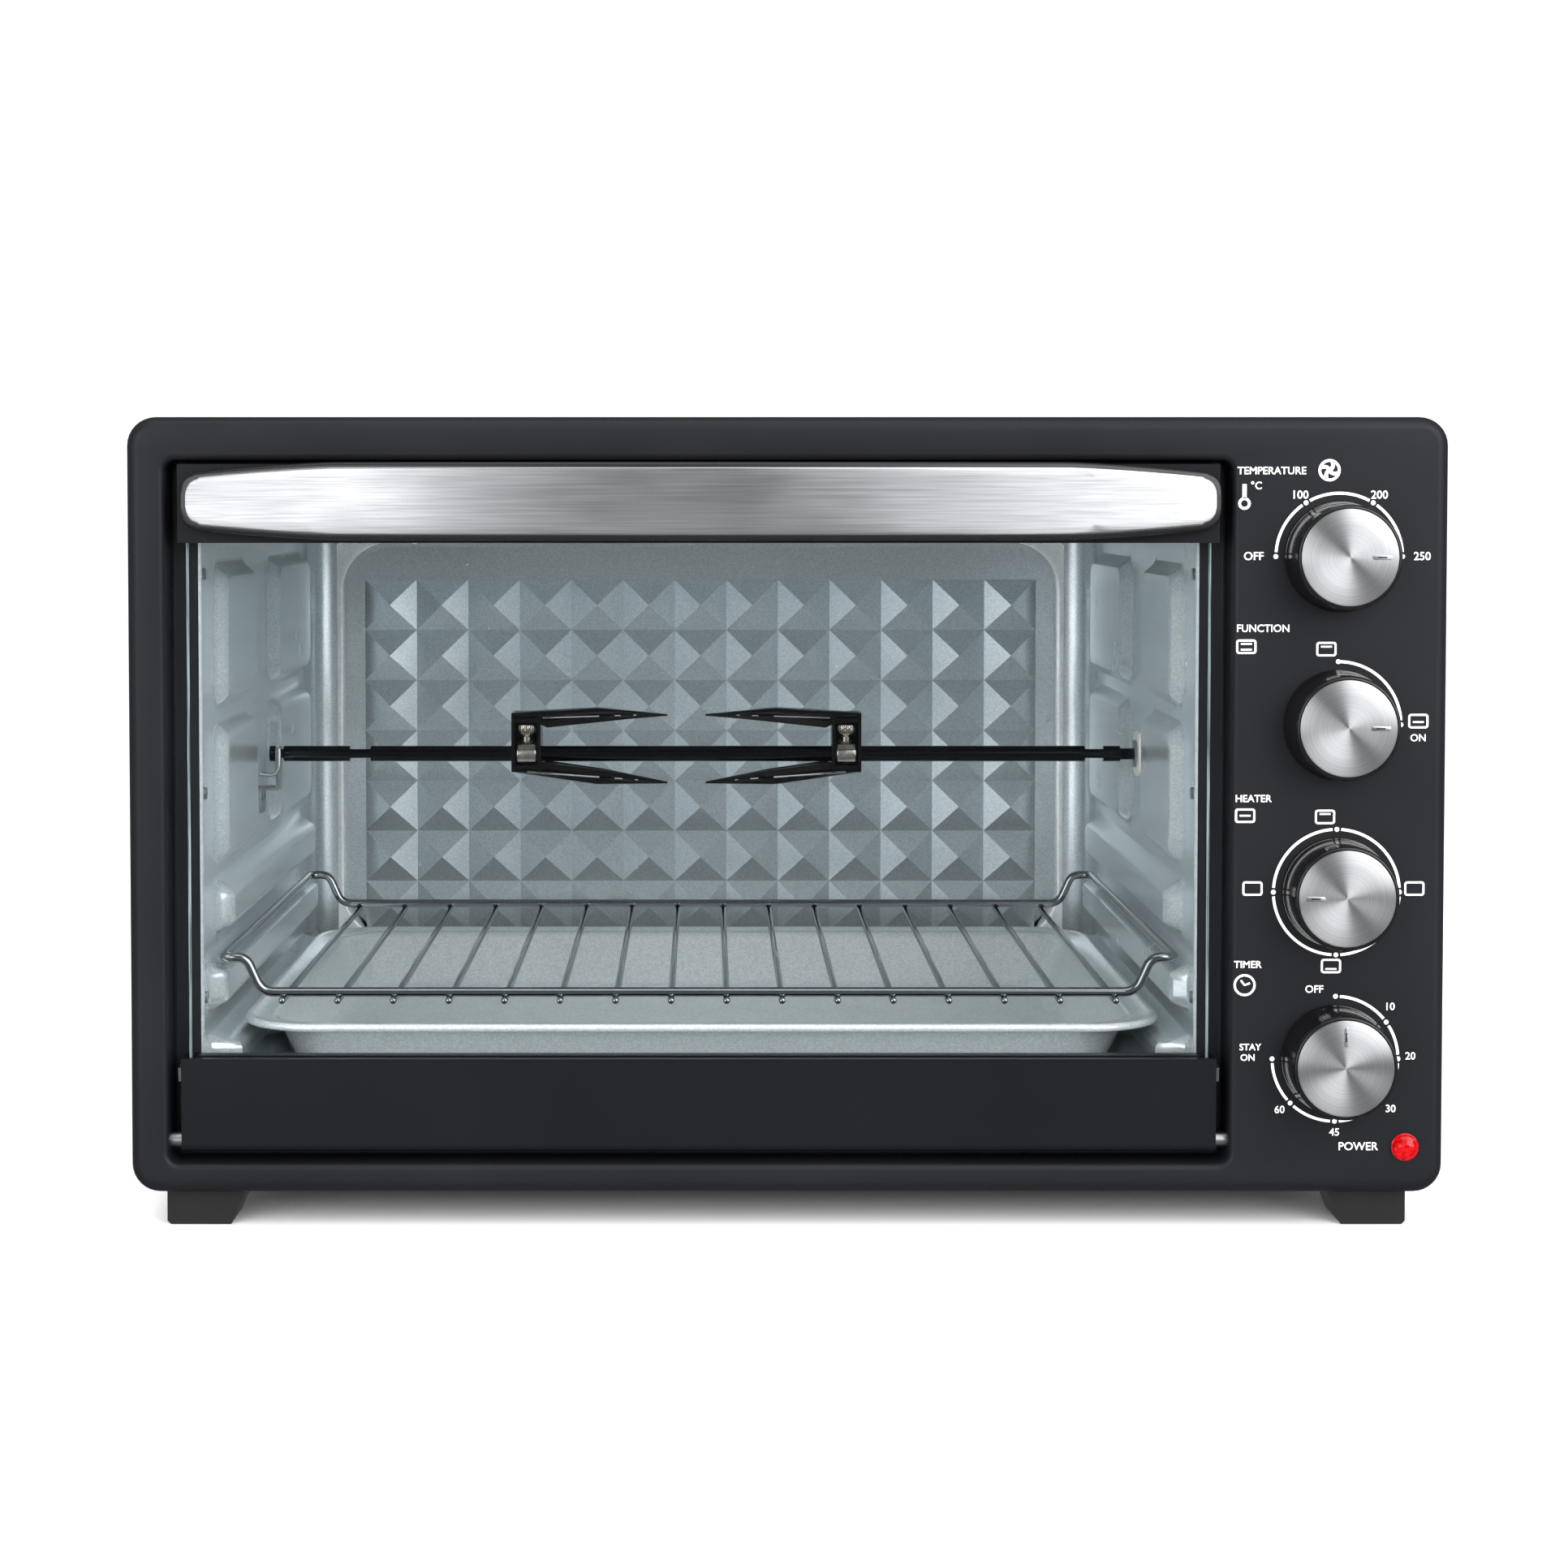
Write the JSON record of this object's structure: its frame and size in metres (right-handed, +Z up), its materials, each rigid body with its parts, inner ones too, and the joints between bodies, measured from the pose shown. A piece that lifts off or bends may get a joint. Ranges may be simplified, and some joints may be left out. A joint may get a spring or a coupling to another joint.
{
  "type": "rotisserie oven",
  "caption": "Countertop rotisserie oven with a drop-down glass door, wide brushed handle, rotary controls, motor-turned spit with adjustable forks, wire rack and baking tray.",
  "frame": {"origin": "on the ground below the middle of the overall box", "axes": "+X to the right seen from the front, +Y into the oven, +Z up"},
  "size_m": [0.55, 0.424, 0.341],
  "materials": {
    "black_paint": "satin black powder coat on sheet steel",
    "chamber_coat": "light blue-grey metallic non-stick coat",
    "tray_coat": "light blue-grey metallic coat on pressed steel",
    "foot_plastic": "moulded matte black",
    "handle_black": "moulded black with a soft gloss",
    "handle_steel": "horizontally brushed steel trim",
    "door_glass": "clear tempered glass with polished edges",
    "knob_black": "black moulded knob",
    "knob_disc": "spun aluminium insert",
    "zinc_steel": "zinc plated steel",
    "collar_nickel": "nickel plated collar and screw",
    "rack_chrome": "bright chrome wire",
    "spit_chrome": "dark polished steel rod",
    "fork_black": "black oxide sheet",
    "heater_tube": "heat-darkened steel tube",
    "white_ceramic": "white ceramic",
    "switch_plastic": "natural switch moulding",
    "lamp_lens": "clear red moulded lens",
    "lamp_glass": "small neon lamp"
  },
  "bodies": {
    "case": {"front_frame": "black_paint", "outer_cover": "black_paint", "base_plate": "black_paint", "rear_cover": "black_paint", "feet": "foot_plastic", "cavity_left_wall": "chamber_coat", "cavity_right_wall": "chamber_coat", "cavity_ceiling": "chamber_coat", "cavity_floor": "chamber_coat", "cavity_back": "chamber_coat", "thermostat_body": "zinc_steel", "function_switch_body": "switch_plastic", "heat_switch_body": "switch_plastic", "timer_body": "zinc_steel", "spit_motor": "zinc_steel", "motor_bracket": "zinc_steel", "spit_cradle": "zinc_steel", "drive_bushing": "white_ceramic", "indicator_lens": "lamp_lens", "indicator_lamp": "lamp_glass", "upper_heaters": "heater_tube", "lower_heaters": "heater_tube", "heater_insulators": "white_ceramic", "cord_gland": "foot_plastic", "terminal_block": "switch_plastic", "case_screws": "zinc_steel", "wall_rivets": "zinc_steel", "hinge_pins": "zinc_steel", "door_springs": "zinc_steel", "spring_brackets": "zinc_steel"},
    "door": {"door_glass": "door_glass", "door_top_rail": "black_paint", "door_bottom_rail": "black_paint", "handle_body": "handle_black", "handle_trim": "handle_steel", "handle_screws": "zinc_steel", "hinge_arms": "zinc_steel"},
    "temperature_control": {"temperature_knob": "knob_black", "temperature_knob_cap": "knob_disc", "temperature_shaft": "zinc_steel"},
    "function_control": {"function_knob": "knob_black", "function_knob_cap": "knob_disc", "function_shaft": "zinc_steel"},
    "heat_control": {"heat_knob": "knob_black", "heat_knob_cap": "knob_disc", "heat_shaft": "zinc_steel"},
    "timer_control": {"timer_knob": "knob_black", "timer_knob_cap": "knob_disc", "timer_shaft": "zinc_steel"},
    "spit": {"spit_rod": "spit_chrome", "drive_socket": "zinc_steel"},
    "left_fork": {"fork_left": "fork_black", "fork_collar_left": "collar_nickel"},
    "left_thumbscrew": {"thumbscrew_left": "collar_nickel"},
    "right_fork": {"fork_right": "fork_black", "fork_collar_right": "collar_nickel"},
    "right_thumbscrew": {"thumbscrew_right": "collar_nickel"},
    "rack": {"wire_rack": "rack_chrome"},
    "tray": {"baking_tray": "tray_coat"}
  },
  "joints": [
    {"name": "door_hinge", "type": "hinge", "parent": "case", "child": "door", "pos_m": [-0.037, -0.179, 0.037], "axis": [1, 0, 0], "range_deg": [0, 90], "stiffness_Nm_per_rad": 0.3, "springref_deg": -57.3, "deforming": ["door_springs"]},
    {"name": "temperature_turn", "type": "hinge", "parent": "case", "child": "temperature_control", "pos_m": [0.229, -0.188, 0.283], "axis": [0, 1, 0], "range_deg": [-180, 0]},
    {"name": "function_turn", "type": "hinge", "parent": "case", "child": "function_control", "pos_m": [0.229, -0.188, 0.213], "axis": [0, 1, 0], "range_deg": [-90, 0]},
    {"name": "heat_turn", "type": "hinge", "parent": "case", "child": "heat_control", "pos_m": [0.229, -0.188, 0.143], "axis": [0, 1, 0], "continuous": true},
    {"name": "timer_turn", "type": "hinge", "parent": "case", "child": "timer_control", "pos_m": [0.229, -0.188, 0.073], "axis": [0, 1, 0], "range_deg": [0, 270]},
    {"name": "spit_spin", "type": "hinge", "parent": "case", "child": "spit", "pos_m": [-0.037, -0.003, 0.1845], "axis": [1, 0, 0], "continuous": true},
    {"name": "left_fork_slide", "type": "slide", "parent": "spit", "child": "left_fork", "axis": [1, 0, 0], "range_m": [-0.055, 0.007]},
    {"name": "left_thumbscrew_turn", "type": "hinge", "parent": "left_fork", "child": "left_thumbscrew", "pos_m": [-0.12, -0.003, 0.1965], "axis": [0, 0, 1], "range_deg": [0, 360]},
    {"name": "right_fork_slide", "type": "slide", "parent": "spit", "child": "right_fork", "axis": [1, 0, 0], "range_m": [-0.007, 0.055]},
    {"name": "right_thumbscrew_turn", "type": "hinge", "parent": "right_fork", "child": "right_thumbscrew", "pos_m": [0.0333, -0.003, 0.1965], "axis": [0, 0, 1], "range_deg": [0, 360]},
    {"name": "rack_slide", "type": "slide", "parent": "case", "child": "rack", "axis": [0, -1, 0], "range_m": [0, 0.12]},
    {"name": "tray_slide", "type": "slide", "parent": "case", "child": "tray", "axis": [0, -1, 0], "range_m": [0, 0.072]}
  ],
  "couplings": [
    {"joint": "rack_slide", "follows": "door_hinge", "m_per_rad": 0.075},
    {"joint": "tray_slide", "follows": "door_hinge", "m_per_rad": 0.045}
  ]
}
